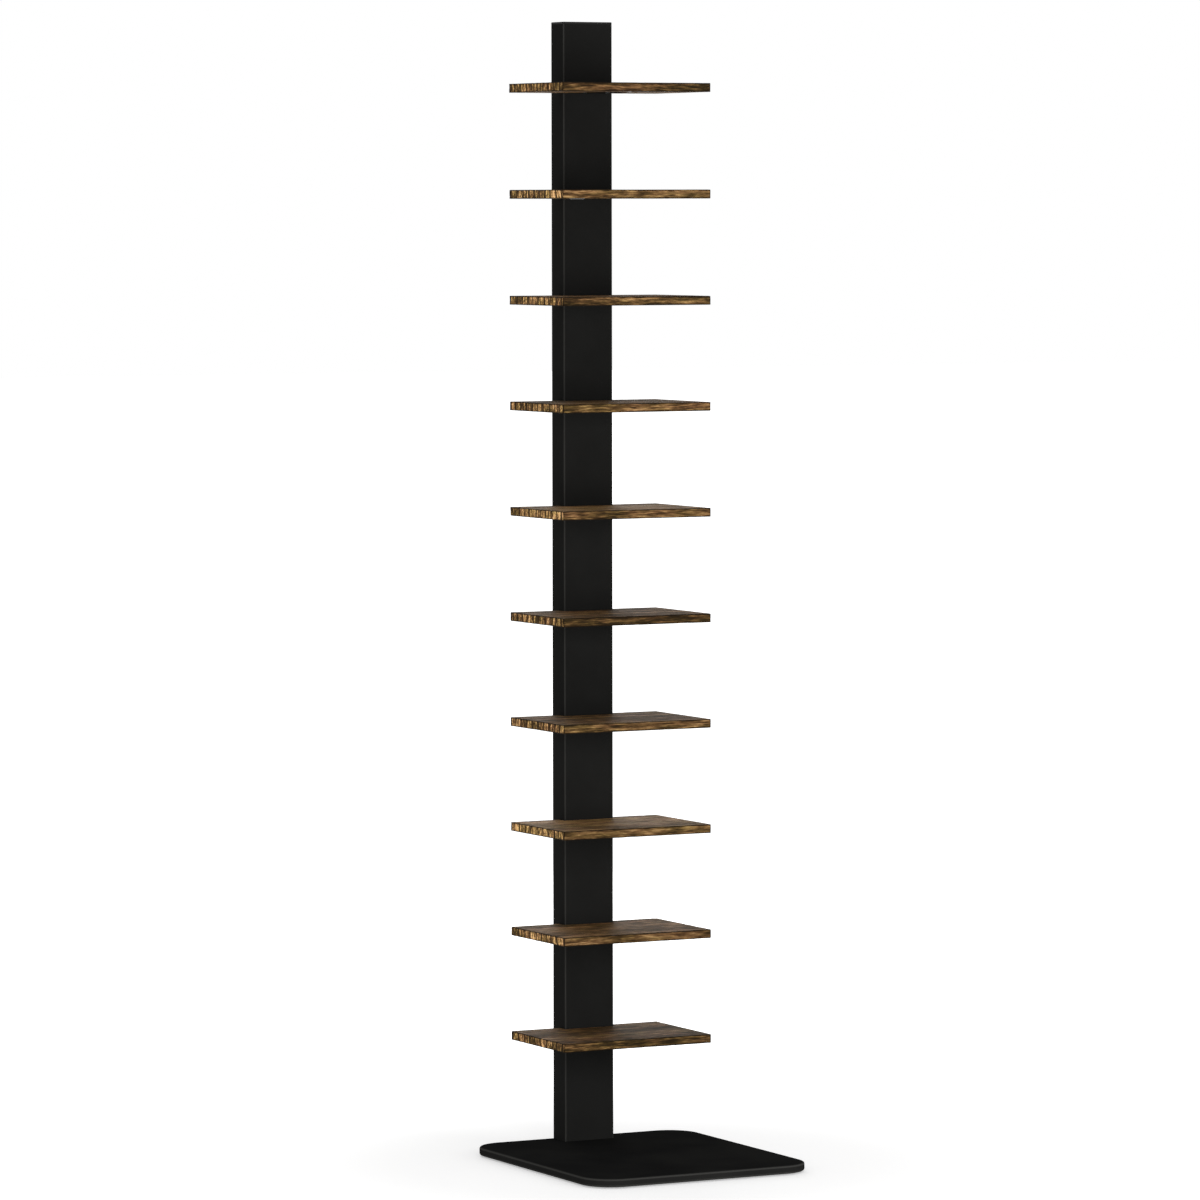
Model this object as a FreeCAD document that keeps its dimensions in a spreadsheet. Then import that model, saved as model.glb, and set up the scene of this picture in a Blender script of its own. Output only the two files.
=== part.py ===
# Spine bookshelf: one steel column on a heavy steel base plate carries ten small
# wooden shelf boards. Each board is notched round the column and lies on a flat
# steel tongue that is let into its underside, so that the tower looks like a
# spine. Nothing on it moves.
#
# Millimetres, +Z up, the shelves' fronts face -Y. The origin is under the middle
# of the base plate, on the floor.
import FreeCAD, Part
import os
import Sketcher

DRIVING_SIZES = [
    # base plate and the pads under it
    ("base_width", 355),
    ("base_depth", 405),
    ("base_thickness", 12),
    ("base_corner_radius", 48),
    ("base_edge_radius", 3),
    ("pad_diameter", 30),
    ("pad_thickness", 2),
    ("pad_inset", 40),
    # column: a rectangular steel tube and its plastic end cap
    ("column_width", 80),
    ("column_depth", 40),
    ("column_wall", 2),
    ("column_corner_radius", 2.5),
    ("least_inner_radius", 0.5),
    ("column_rise", 87),
    ("cap_thickness", 3),
    ("cap_edge_radius", 1),
    ("cap_plug_depth", 16),
    ("cap_plug_wall", 2),
    ("cap_plug_clearance", 0.5),
    ("cap_fin_clearance", 0.1),
    ("cap_fin_height", 1.5),
    ("cap_fin_spacing", 5),
    # foot plate welded into the column's lower end, and its screws
    ("foot_thickness", 8),
    ("foot_clearance", 0.2),
    ("foot_screw_diameter", 6),
    ("foot_screw_length", 18),
    ("foot_screw_head_diameter", 12),
    ("foot_screw_socket_width", 4),
    ("foot_screw_socket_depth", 2.2),
    ("foot_screw_spacing_x", 52),
    ("foot_screw_spacing_y", 18),
    ("foot_hole_clearance", 0.4),
    ("foot_thread_clearance", 0.1),
    # shelf boards
    ("shelf_count", 10),
    ("shelf_width", 240),
    ("shelf_depth", 170),
    ("shelf_thickness", 13),
    ("shelf_gap", 140),
    ("shelf_gap_over_base", 153),
    ("shelf_wrap", 17),
    ("shelf_arris_radius", 1),
    ("shelf_corner_radius", 1.5),
    ("notch_clearance", 0.5),
    # steel tongues that carry the boards
    ("tongue_width", 60),
    ("tongue_reach", 110),
    ("tongue_thickness", 3),
    ("tongue_corner_radius", 10),
    ("tongue_tab_width", 30),
    ("tongue_slot_clearance", 0.2),
    ("recess_clearance", 0.5),
    # wood screws up through each tongue
    ("shelf_screw_diameter", 3.5),
    ("shelf_screw_length", 10),
    ("shelf_screw_head_diameter", 7),
    ("shelf_screw_tip_length", 3),
    ("shelf_screw_tip_diameter", 0.6),
    ("shelf_screw_cross_length", 4),
    ("shelf_screw_cross_width", 1),
    ("shelf_screw_cross_depth", 1.2),
    ("shelf_screw_spacing_x", 36),
    ("shelf_screw_spacing_y", 70),
    ("shelf_screw_end_distance", 15),
    ("shelf_hole_clearance", 0.3),
    ("shelf_pilot_clearance", 0.1),
    ("shelf_pilot_spare_depth", 0.3),
]

# Places that several pieces share, each worked out from the driving sizes.
BASE_TOP = "(Sizes.pad_thickness + Sizes.base_thickness)"
SHELF_PITCH = "(Sizes.shelf_gap + Sizes.shelf_thickness)"
COLUMN_LENGTH = (
    "(Sizes.shelf_gap_over_base + (Sizes.shelf_count - 1) * " + SHELF_PITCH
    + " + Sizes.shelf_thickness + Sizes.column_rise)"
)
COLUMN_REAR = "(Sizes.base_depth / 2 - Sizes.base_edge_radius)"
COLUMN_FRONT = "(" + COLUMN_REAR + " - Sizes.column_depth)"
COLUMN_MIDDLE = "(" + COLUMN_REAR + " - Sizes.column_depth / 2)"
SHELF_FRONT = "(" + COLUMN_FRONT + " + Sizes.shelf_wrap - Sizes.shelf_depth)"
TONGUE_FRONT = "(" + COLUMN_FRONT + " - Sizes.tongue_reach)"
INNER_WIDTH = "(Sizes.column_width - 2 * Sizes.column_wall)"
INNER_DEPTH = "(Sizes.column_depth - 2 * Sizes.column_wall)"
INNER_RADIUS = (
    "max(Sizes.column_corner_radius - Sizes.column_wall; Sizes.least_inner_radius)"
)

ALONG_X = "X_Axis"
ALONG_Y = "Y_Axis"
ALONG_Z = "Z_Axis"
FROM_ABOVE = "XY_Plane"
FROM_FRONT = "XZ_Plane"
SAME_PLACE = 1e-4


# ---- the document and its sheet ---------------------------------------------

doc = FreeCAD.newDocument("SpineBookshelf")
sheet = doc.addObject("Spreadsheet::Sheet", "Sizes")
for row, (alias, value) in enumerate(DRIVING_SIZES, start=1):
    sheet.set(f"A{row}", alias)
    sheet.set(f"B{row}", str(value))
    sheet.setAlias(f"B{row}", alias)
doc.recompute()
shelf_count = int(sheet.shelf_count)


# ---- small tools for bodies, sketches and edges -----------------------------

def new_body(label):
    """An empty body with its own label, which may hold several separate solids."""
    body = doc.addObject("PartDesign::Body", label)
    body.Label = label
    body.AllowCompound = True
    return body


def place(body, x="0", y="0", z="0"):
    """Sets where the body's own origin lies in the part's frame."""
    body.setExpression("Placement.Base.x", x)
    body.setExpression("Placement.Base.y", y)
    body.setExpression("Placement.Base.z", z)


def origin_feature(body, role):
    return next(part for part in body.Origin.OriginFeatures if part.Role == role)


def new_sketch(body, name, plane):
    sketch = body.newObject("Sketcher::SketchObject", body.Label + "_" + name)
    sketch.AttachmentSupport = [(origin_feature(body, plane), "")]
    sketch.MapMode = "FlatFace"
    return sketch


def name_dimension(sketch, constraint, name, expression):
    """Adds a dimension to the sketch and ties it to the sheet."""
    index = sketch.addConstraint(constraint)
    sketch.renameConstraint(index, name)
    sketch.setExpression("Constraints." + name, expression)


def mirror_points(sketch, left, right):
    """Holds two points, each an edge and its end, symmetric about the upright axis.

    The sketcher's own number for that axis is -2; the origin is point 1 of edge -1.
    """
    sketch.addConstraint(Sketcher.Constraint("Symmetric", *left, *right, -2))


def rectangle(body, name, plane, width, height, low="0"):
    """A rectangle centred on the sketch's upright axis, its lower side at low."""
    sketch = new_sketch(body, name, plane)
    corners = [FreeCAD.Vector(x, y) for x, y in ((-5, 1), (5, 1), (5, 9), (-5, 9))]
    for side in range(4):
        sketch.addGeometry(Part.LineSegment(corners[side], corners[(side + 1) % 4]))
    for side in range(4):
        sketch.addConstraint(Sketcher.Constraint("Coincident", side, 2, (side + 1) % 4, 1))
    for side in (1, 3):
        sketch.addConstraint(Sketcher.Constraint("Vertical", side))
    sketch.addConstraint(Sketcher.Constraint("Horizontal", 2))
    mirror_points(sketch, (0, 1), (0, 2))
    name_dimension(sketch, Sketcher.Constraint("DistanceX", 0, 1, 0, 2, 10), "width", width)
    name_dimension(sketch, Sketcher.Constraint("DistanceY", 1, 1, 1, 2, 8), "height", height)
    name_dimension(sketch, Sketcher.Constraint("DistanceY", -1, 1, 0, 1, 1), "low", low)
    return sketch


def four_circles(body, name, diameter, spacing_x, spacing_y, first_row):
    """Four equal circles at the corners of a rectangle centred on the upright axis."""
    sketch = new_sketch(body, name, FROM_ABOVE)
    for x, y in ((-5, 1), (5, 1), (-5, 9), (5, 9)):
        sketch.addGeometry(Part.Circle(FreeCAD.Vector(x, y), FreeCAD.Vector(0, 0, 1), 1))
    for other in (1, 2, 3):
        sketch.addConstraint(Sketcher.Constraint("Equal", 0, other))
    for left in (0, 2):
        mirror_points(sketch, (left, 3), (left + 1, 3))
    sketch.addConstraint(Sketcher.Constraint("Vertical", 0, 3, 2, 3))
    name_dimension(sketch, Sketcher.Constraint("Diameter", 0, 2), "diameter", diameter)
    name_dimension(sketch, Sketcher.Constraint("DistanceX", 0, 3, 1, 3, 10), "across", spacing_x)
    name_dimension(sketch, Sketcher.Constraint("DistanceY", 0, 3, 2, 3, 8), "along", spacing_y)
    name_dimension(sketch, Sketcher.Constraint("DistanceY", -1, 1, 0, 3, 1), "row", first_row)
    return sketch


def pad(body, name, sketch, length, reverse=False):
    feature = body.newObject("PartDesign::Pad", body.Label + "_" + name)
    feature.Profile = sketch
    feature.setExpression("Length", length)
    feature.Reversed = reverse
    doc.recompute()
    return feature


def pocket(body, name, sketch, length=None, reverse=False):
    """Cuts the sketch out of the body, right through it if no length is given."""
    before = body.Shape.Volume
    feature = body.newObject("PartDesign::Pocket", body.Label + "_" + name)
    feature.Profile = sketch
    feature.Reversed = reverse
    if length is None:
        feature.Type = "ThroughAll"
    else:
        feature.setExpression("Length", length)
    doc.recompute()
    if body.Shape.Volume >= before:
        raise RuntimeError(feature.Label + " cuts nothing")
    return feature


def countersunk_holes(body, name, sketch, diameter, head_diameter):
    """Holes right through the body, countersunk at 90 degrees in its underside."""
    before = body.Shape.Volume
    feature = body.newObject("PartDesign::Hole", body.Label + "_" + name)
    feature.Profile = sketch
    feature.Threaded = False
    feature.DepthType = "ThroughAll"
    feature.HoleCutType = "Countersink"
    feature.HoleCutCustomValues = True
    feature.HoleCutCountersinkAngle = 90
    feature.Reversed = True
    feature.setExpression("Diameter", diameter)
    feature.setExpression("HoleCutDiameter", head_diameter)
    doc.recompute()
    if body.Shape.Volume >= before:
        raise RuntimeError(feature.Label + " cuts nothing")
    return feature


def near(value, *targets):
    return any(abs(value - target) < SAME_PLACE for target in targets)


def edges_where(feature, test):
    """The names of the feature's edges whose bounding box passes the test."""
    edges = enumerate(feature.Shape.Edges, start=1)
    return [f"Edge{number}" for number, edge in edges if test(edge.BoundBox)]


def upright_edges(feature, half_width, *lines):
    """The edges along Z that stand half_width off the middle, on these lines in Y."""
    return edges_where(feature, lambda box: (
        near(box.XLength, 0) and near(box.YLength, 0)
        and near(abs(box.Center.x), half_width) and near(box.Center.y, *lines)
    ))


def flat_edges(feature, *heights):
    """The edges that lie flat at one of these heights."""
    return edges_where(feature, lambda box: near(box.ZLength, 0) and near(box.ZMin, *heights))


def fillet(body, name, base, edges, radius):
    feature = body.newObject("PartDesign::Fillet", body.Label + "_" + name)
    feature.Base = (base, edges)
    feature.setExpression("Radius", radius)
    doc.recompute()
    return feature


def primitive(body, kind, name, offset=(), **sizes):
    """Adds or cuts a cylinder, cone, prism or box whose sizes are expressions."""
    feature = body.newObject("PartDesign::" + kind, body.Label + "_" + name)
    feature.AttachmentSupport = [(origin_feature(body, FROM_ABOVE), "")]
    feature.MapMode = "FlatFace"
    for size, expression in sizes.items():
        feature.setExpression(size, expression)
    for axis, expression in offset:
        feature.setExpression("AttachmentOffset.Base." + axis, expression)
    doc.recompute()
    return feature


def four_copies(body, spacing_x, spacing_y):
    """Repeats the whole body at the corners of a rectangle, as separate solids."""
    pattern = body.newObject("PartDesign::LinearPattern", body.Label + "_pattern")
    pattern.TransformMode = "Whole shape"
    pattern.Direction = (origin_feature(body, ALONG_X), [""])
    pattern.Direction2 = (origin_feature(body, ALONG_Y), [""])
    pattern.Occurrences = 2
    pattern.Occurrences2 = 2
    pattern.setExpression("Length", spacing_x)
    pattern.setExpression("Length2", spacing_y)
    body.Tip = pattern
    doc.recompute()
    return pattern


# ---- base -------------------------------------------------------------------

def make_base_plate():
    """Steel plate with large corner radii, rounded-over edges and four screw holes."""
    body = new_body("base_plate")
    place(body, z="Sizes.pad_thickness")
    outline = rectangle(
        body, "outline", FROM_ABOVE, "Sizes.base_width", "Sizes.base_depth",
        low="-Sizes.base_depth / 2",
    )
    plate = pad(body, "plate", outline, "Sizes.base_thickness")
    uprights = upright_edges(
        plate, sheet.base_width / 2, -sheet.base_depth / 2, sheet.base_depth / 2
    )
    corners = fillet(body, "corners", plate, uprights, "Sizes.base_corner_radius")
    rims = flat_edges(corners, 0, sheet.base_thickness)
    fillet(body, "edges", corners, rims, "Sizes.base_edge_radius")
    holes = four_circles(
        body, "hole_centres", "Sizes.foot_screw_diameter",
        "Sizes.foot_screw_spacing_x", "Sizes.foot_screw_spacing_y",
        COLUMN_MIDDLE + " - Sizes.foot_screw_spacing_y / 2",
    )
    countersunk_holes(
        body, "holes", holes,
        "Sizes.foot_screw_diameter + 2 * Sizes.foot_hole_clearance",
        "Sizes.foot_screw_head_diameter + 2 * Sizes.foot_hole_clearance",
    )
    return body


def make_base_pads():
    """Four soft round pads stuck under the corners of the base plate."""
    body = new_body("base_pads")
    across = "(Sizes.base_width - 2 * Sizes.pad_inset)"
    along = "(Sizes.base_depth - 2 * Sizes.pad_inset)"
    place(body, x="-" + across + " / 2", y="-" + along + " / 2")
    primitive(
        body, "AdditiveCylinder", "pad",
        Radius="Sizes.pad_diameter / 2", Height="Sizes.pad_thickness",
    )
    four_copies(body, across, along)
    return body


# ---- column -----------------------------------------------------------------

def make_column_tube():
    """Rectangular tube with a slot for each tongue, open at both ends."""
    body = new_body("column_tube")
    place(body, y=COLUMN_FRONT, z=BASE_TOP)
    outside = rectangle(
        body, "outside", FROM_ABOVE, "Sizes.column_width", "Sizes.column_depth"
    )
    bar = pad(body, "bar", outside, COLUMN_LENGTH)
    uprights = upright_edges(bar, sheet.column_width / 2, 0, sheet.column_depth)
    fillet(body, "outer_corners", bar, uprights, "Sizes.column_corner_radius")
    inside = rectangle(
        body, "inside", FROM_ABOVE, INNER_WIDTH, INNER_DEPTH, low="Sizes.column_wall"
    )
    bore = pocket(body, "bore", inside, reverse=True)
    inner_uprights = upright_edges(
        bore, sheet.column_width / 2 - sheet.column_wall,
        sheet.column_wall, sheet.column_depth - sheet.column_wall,
    )
    fillet(body, "inner_corners", bore, inner_uprights, INNER_RADIUS)
    slot_height = "Sizes.tongue_thickness + 2 * Sizes.tongue_slot_clearance"
    slot_low = "Sizes.shelf_gap_over_base - Sizes.tongue_slot_clearance"
    front = rectangle(
        body, "front_slot_outline", FROM_FRONT,
        "Sizes.tongue_width + 2 * Sizes.tongue_slot_clearance", slot_height, low=slot_low,
    )
    front_slot = pocket(body, "front_slot", front, "Sizes.column_depth / 2")
    rear = rectangle(
        body, "rear_slot_outline", FROM_FRONT,
        "Sizes.tongue_tab_width + 2 * Sizes.tongue_slot_clearance", slot_height, low=slot_low,
    )
    rear_slot = pocket(body, "rear_slot", rear, "Sizes.column_depth")
    slots = body.newObject("PartDesign::LinearPattern", "column_tube_slots")
    slots.Originals = [front_slot, rear_slot]
    slots.Direction = (origin_feature(body, ALONG_Z), [""])
    slots.setExpression("Length", "(Sizes.shelf_count - 1) * " + SHELF_PITCH)
    slots.setExpression("Occurrences", "Sizes.shelf_count")
    body.Tip = slots
    doc.recompute()
    return body


def make_column_foot():
    """Thick plate welded into the tube's lower end, with four tapped holes."""
    body = new_body("column_foot")
    place(body, y=COLUMN_MIDDLE, z=BASE_TOP)
    depth = INNER_DEPTH + " - 2 * Sizes.foot_clearance"
    outline = rectangle(
        body, "outline", FROM_ABOVE, INNER_WIDTH + " - 2 * Sizes.foot_clearance", depth,
        low="-(" + depth + ") / 2",
    )
    plate = pad(body, "plate", outline, "Sizes.foot_thickness")
    half_width = sheet.column_width / 2 - sheet.column_wall - sheet.foot_clearance
    half_depth = sheet.column_depth / 2 - sheet.column_wall - sheet.foot_clearance
    uprights = upright_edges(plate, half_width, -half_depth, half_depth)
    fillet(body, "corners", plate, uprights, INNER_RADIUS)
    holes = four_circles(
        body, "tapped_hole_outlines",
        "Sizes.foot_screw_diameter + 2 * Sizes.foot_thread_clearance",
        "Sizes.foot_screw_spacing_x", "Sizes.foot_screw_spacing_y",
        "-Sizes.foot_screw_spacing_y / 2",
    )
    pocket(body, "tapped_holes", holes, reverse=True)
    return body


def make_foot_screws():
    """Four countersunk machine screws, up through the base plate into the foot."""
    body = new_body("foot_screws")
    place(
        body, x="-Sizes.foot_screw_spacing_x / 2",
        y=COLUMN_MIDDLE + " - Sizes.foot_screw_spacing_y / 2", z="Sizes.pad_thickness",
    )
    shank = "Sizes.foot_screw_diameter / 2"
    head = "Sizes.foot_screw_head_diameter / 2"
    primitive(body, "AdditiveCylinder", "shank", Radius=shank, Height="Sizes.foot_screw_length")
    primitive(
        body, "AdditiveCone", "head", Radius1=head, Radius2=shank, Height=head + " - " + shank
    )
    primitive(
        body, "SubtractivePrism", "hex_socket",
        Circumradius="Sizes.foot_screw_socket_width / 2 / cos(30 deg)",
        Height="Sizes.foot_screw_socket_depth",
    )
    four_copies(body, "Sizes.foot_screw_spacing_x", "Sizes.foot_screw_spacing_y")
    return body


def make_top_cap():
    """Moulded end cap: a flange as large as the tube, and a hollow plug with fins."""
    body = new_body("top_cap")
    place(body, y=COLUMN_MIDDLE, z=BASE_TOP + " + " + COLUMN_LENGTH)
    flange_outline = rectangle(
        body, "flange_outline", FROM_ABOVE, "Sizes.column_width", "Sizes.column_depth",
        low="-Sizes.column_depth / 2",
    )
    flange = pad(body, "flange", flange_outline, "Sizes.cap_thickness")
    uprights = upright_edges(
        flange, sheet.column_width / 2, -sheet.column_depth / 2, sheet.column_depth / 2
    )
    corners = fillet(body, "corners", flange, uprights, "Sizes.column_corner_radius")
    top_rim = flat_edges(corners, sheet.cap_thickness)
    fillet(body, "top_edge", corners, top_rim, "Sizes.cap_edge_radius")

    def plug_section(name, clearance):
        depth = INNER_DEPTH + " - 2 * " + clearance
        return rectangle(
            body, name, FROM_ABOVE, INNER_WIDTH + " - 2 * " + clearance, depth,
            low="-(" + depth + ") / 2",
        )

    plug_outline = plug_section("plug_outline", "Sizes.cap_plug_clearance")
    pad(body, "plug", plug_outline, "Sizes.cap_plug_depth", reverse=True)
    for number in (1, 2):
        fin = plug_section(f"fin_{number}_outline", "Sizes.cap_fin_clearance")
        fin.setExpression("AttachmentOffset.Base.z", f"-{number} * Sizes.cap_fin_spacing")
        pad(body, f"fin_{number}", fin, "Sizes.cap_fin_height", reverse=True)

    sharp = body.Tip
    plug_corners = []
    for clearance in (sheet.cap_plug_clearance, sheet.cap_fin_clearance):
        half_depth = sheet.column_depth / 2 - sheet.column_wall - clearance
        plug_corners += upright_edges(
            sharp, sheet.column_width / 2 - sheet.column_wall - clearance,
            -half_depth, half_depth,
        )
    fillet(body, "plug_corners", sharp, plug_corners, INNER_RADIUS)
    hollow = plug_section("hollow_outline", "(Sizes.cap_plug_clearance + Sizes.cap_plug_wall)")
    pocket(body, "hollow", hollow, "Sizes.cap_plug_depth")
    return body


# ---- shelves ----------------------------------------------------------------

def shelf_height(number):
    """The height of a board's underside; shelf 1 is the topmost."""
    below = shelf_count - number
    return f"{BASE_TOP} + Sizes.shelf_gap_over_base + {below} * {SHELF_PITCH}"


def make_shelf_board(number):
    """Solid wood board, notched round the column and recessed for its tongue."""
    body = new_body(f"shelf_board_{number:02d}")
    place(body, y=SHELF_FRONT, z=shelf_height(number))
    outline = rectangle(body, "outline", FROM_ABOVE, "Sizes.shelf_width", "Sizes.shelf_depth")
    pad(body, "board", outline, "Sizes.shelf_thickness")
    notch_outline = rectangle(
        body, "notch_outline", FROM_ABOVE,
        "Sizes.column_width + 2 * Sizes.notch_clearance",
        "Sizes.shelf_wrap + Sizes.notch_clearance",
        low="Sizes.shelf_depth - Sizes.shelf_wrap - Sizes.notch_clearance",
    )
    notch = pocket(body, "notch", notch_outline, reverse=True)
    notch_half_width = sheet.column_width / 2 + sheet.notch_clearance
    notch_corners = upright_edges(
        notch, notch_half_width, sheet.shelf_depth - sheet.shelf_wrap - sheet.notch_clearance
    )
    inner = fillet(body, "notch_corners", notch, notch_corners, "Sizes.column_corner_radius")
    outer_corners = upright_edges(inner, sheet.shelf_width / 2, 0, sheet.shelf_depth)
    outer_corners += upright_edges(inner, notch_half_width, sheet.shelf_depth)
    outer = fillet(body, "corners", inner, outer_corners, "Sizes.shelf_corner_radius")
    rims = flat_edges(outer, 0, sheet.shelf_thickness)
    fillet(body, "arrises", outer, rims, "Sizes.shelf_arris_radius")
    recess_front = (
        "Sizes.shelf_depth - Sizes.shelf_wrap - Sizes.tongue_reach - Sizes.recess_clearance"
    )
    recess_outline = rectangle(
        body, "recess_outline", FROM_ABOVE,
        "Sizes.tongue_width + 2 * Sizes.recess_clearance",
        "Sizes.tongue_reach + Sizes.recess_clearance",
        low=recess_front,
    )
    pocket(body, "recess", recess_outline, "Sizes.tongue_thickness", reverse=True)
    pilot_outlines = four_circles(
        body, "pilot_hole_outlines",
        "Sizes.shelf_screw_diameter + 2 * Sizes.shelf_pilot_clearance",
        "Sizes.shelf_screw_spacing_x", "Sizes.shelf_screw_spacing_y",
        "Sizes.shelf_depth - Sizes.shelf_wrap - Sizes.tongue_reach"
        " + Sizes.shelf_screw_end_distance",
    )
    pocket(
        body, "pilot_holes", pilot_outlines,
        "Sizes.shelf_screw_length + Sizes.shelf_pilot_spare_depth", reverse=True,
    )
    return body


def make_shelf_tongue(number):
    """Flat steel tongue: its wide part lies in the tube and under the board, and
    its narrow tab goes through the tube's rear wall, where it is welded."""
    body = new_body(f"shelf_tongue_{number:02d}")
    place(body, y=TONGUE_FRONT, z=shelf_height(number))
    wide_length = "Sizes.tongue_reach + Sizes.column_depth - Sizes.column_wall"
    outline = rectangle(body, "outline", FROM_ABOVE, "Sizes.tongue_width", wide_length)
    strip = pad(body, "strip", outline, "Sizes.tongue_thickness")
    front_corners = upright_edges(strip, sheet.tongue_width / 2, 0)
    fillet(body, "front_corners", strip, front_corners, "Sizes.tongue_corner_radius")
    tab_outline = rectangle(
        body, "tab_outline", FROM_ABOVE, "Sizes.tongue_tab_width", "Sizes.column_wall",
        low=wide_length,
    )
    pad(body, "tab", tab_outline, "Sizes.tongue_thickness")
    holes = four_circles(
        body, "hole_centres", "Sizes.shelf_screw_diameter",
        "Sizes.shelf_screw_spacing_x", "Sizes.shelf_screw_spacing_y",
        "Sizes.shelf_screw_end_distance",
    )
    countersunk_holes(
        body, "holes", holes,
        "Sizes.shelf_screw_diameter + 2 * Sizes.shelf_hole_clearance",
        "Sizes.shelf_screw_head_diameter + 2 * Sizes.shelf_hole_clearance",
    )
    return body


def make_shelf_screws(number):
    """Four countersunk wood screws, up through the tongue into the board."""
    body = new_body(f"shelf_screws_{number:02d}")
    place(
        body, x="-Sizes.shelf_screw_spacing_x / 2",
        y=TONGUE_FRONT + " + Sizes.shelf_screw_end_distance", z=shelf_height(number),
    )
    shank = "Sizes.shelf_screw_diameter / 2"
    head = "Sizes.shelf_screw_head_diameter / 2"
    straight = "Sizes.shelf_screw_length - Sizes.shelf_screw_tip_length"
    primitive(body, "AdditiveCylinder", "shank", Radius=shank, Height=straight)
    primitive(
        body, "AdditiveCone", "head", Radius1=head, Radius2=shank, Height=head + " - " + shank
    )
    primitive(
        body, "AdditiveCone", "tip", offset=[("z", straight)], Radius1=shank,
        Radius2="Sizes.shelf_screw_tip_diameter / 2", Height="Sizes.shelf_screw_tip_length",
    )
    cross = {"x": "Sizes.shelf_screw_cross_length", "y": "Sizes.shelf_screw_cross_width"}
    for name, along, across in (("cross_x", "x", "y"), ("cross_y", "y", "x")):
        primitive(
            body, "SubtractiveBox", name,
            offset=[("x", "-" + cross[along] + " / 2"), ("y", "-" + cross[across] + " / 2")],
            Length=cross[along], Width=cross[across], Height="Sizes.shelf_screw_cross_depth",
        )
    four_copies(body, "Sizes.shelf_screw_spacing_x", "Sizes.shelf_screw_spacing_y")
    return body


# ---- the whole tower, its checks and its files ------------------------------

pieces = [
    make_base_plate(),
    make_base_pads(),
    make_column_tube(),
    make_column_foot(),
    make_foot_screws(),
    make_top_cap(),
]
for shelf in range(1, shelf_count + 1):
    pieces.append(make_shelf_board(shelf))
    pieces.append(make_shelf_tongue(shelf))
    pieces.append(make_shelf_screws(shelf))
doc.recompute()

for thing in doc.Objects:
    if {"Invalid", "Error"} & set(thing.State):
        raise RuntimeError(f"{thing.Label} failed: {thing.State}")
for piece in pieces:
    if piece.Shape.isNull() or not piece.Shape.isValid():
        raise RuntimeError(f"{piece.Label} has no valid shape")

os.makedirs("parts", exist_ok=True)
for piece in pieces:
    piece.Shape.exportStep(os.path.join("parts", piece.Label + ".step"))
    print(piece.Label, len(piece.Shape.Solids), "solids,", round(piece.Shape.Volume), "mm3")
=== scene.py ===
"""Looks of the spine bookshelf: a black steel column on a heavy base plate, with ten rustic
wooden boards let onto steel tongues. Metres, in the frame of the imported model."""

import math

import bpy
import numpy as np
from mathutils import Matrix, Vector


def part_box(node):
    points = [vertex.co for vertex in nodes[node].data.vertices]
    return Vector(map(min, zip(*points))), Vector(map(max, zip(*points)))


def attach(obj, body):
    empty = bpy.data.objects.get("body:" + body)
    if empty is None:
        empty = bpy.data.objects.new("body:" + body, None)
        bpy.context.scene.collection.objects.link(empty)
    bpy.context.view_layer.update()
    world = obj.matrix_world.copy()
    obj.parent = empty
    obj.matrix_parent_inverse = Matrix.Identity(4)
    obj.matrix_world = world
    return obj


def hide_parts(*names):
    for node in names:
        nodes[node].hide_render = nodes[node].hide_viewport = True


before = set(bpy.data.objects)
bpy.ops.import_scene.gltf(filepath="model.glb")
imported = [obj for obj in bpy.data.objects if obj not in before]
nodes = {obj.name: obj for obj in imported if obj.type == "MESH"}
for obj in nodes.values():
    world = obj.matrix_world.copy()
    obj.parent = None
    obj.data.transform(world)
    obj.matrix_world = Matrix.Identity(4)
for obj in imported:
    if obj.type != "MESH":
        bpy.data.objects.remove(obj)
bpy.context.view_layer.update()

MM = 0.001
BOARD_NUMBERS = range(1, 11)

# --- Board: its notch lies round the column, its recess round the tongue ---
CLEARANCE = 0.5 * MM
column_low, column_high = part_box("column_tube")
tongue_low, tongue_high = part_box("shelf_tongue_01")
board_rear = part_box("shelf_board_01")[1].y
NOTCH_HALF_WIDTH = column_high.x + CLEARANCE
NOTCH_DEPTH = board_rear - column_low.y + CLEARANCE
NOTCH_CORNER_RADIUS = 2.5 * MM
CORNER_RADIUS = 1.5 * MM
RECESS_HALF_WIDTH = tongue_high.x + CLEARANCE
RECESS_FRONT = tongue_low.y - CLEARANCE
RECESS_DEPTH = tongue_high.z - tongue_low.z
RECESS_WALL_LEAN = 0.05 * MM

# --- Board: how finely its surface is divided ---
FACE_INSET = 1.4 * MM  # the flat faces end here, and the rim rounds over the rest
RECESS_HALF_COLUMNS = 12
LIP_COLUMNS = 3
CORNER_STEPS = 4
NOTCH_CORNER_STEPS = 6
NOTCH_SIDE_STEPS = 6
REAR_RUN_STEPS = 32
ARRIS_STEPS = 3
EDGE_STEPS = 8
ROWS_BEFORE_RECESS = 30
ROWS_BEHIND_RECESS = 80
# places on the front, from its middle, where the shares for the notch's inner corner, its side
# and its outer corner end
FRONT_OF_NOTCH_SIDE = np.array([42, 50, 52]) * MM
SHARP_ANGLE = math.radians(50)

# --- Board: how the timber was cut and worn ---
LOG_SHIFT = 0.5  # how far each board's place in its log is shifted at most
RING_PITCH = 17.5 * MM
PITH_AWAY = 150 * MM
PITH_AWAY_SPREAD = (0.8, 1.3)
PITH_DOWN = 25 * MM
RING_WANDER = 4.4 * MM
RING_RIPPLE_SHARE = 0.4
RING_COUNT_SPREAD = 500
LATEWOOD_SHARE = 0.2
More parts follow.
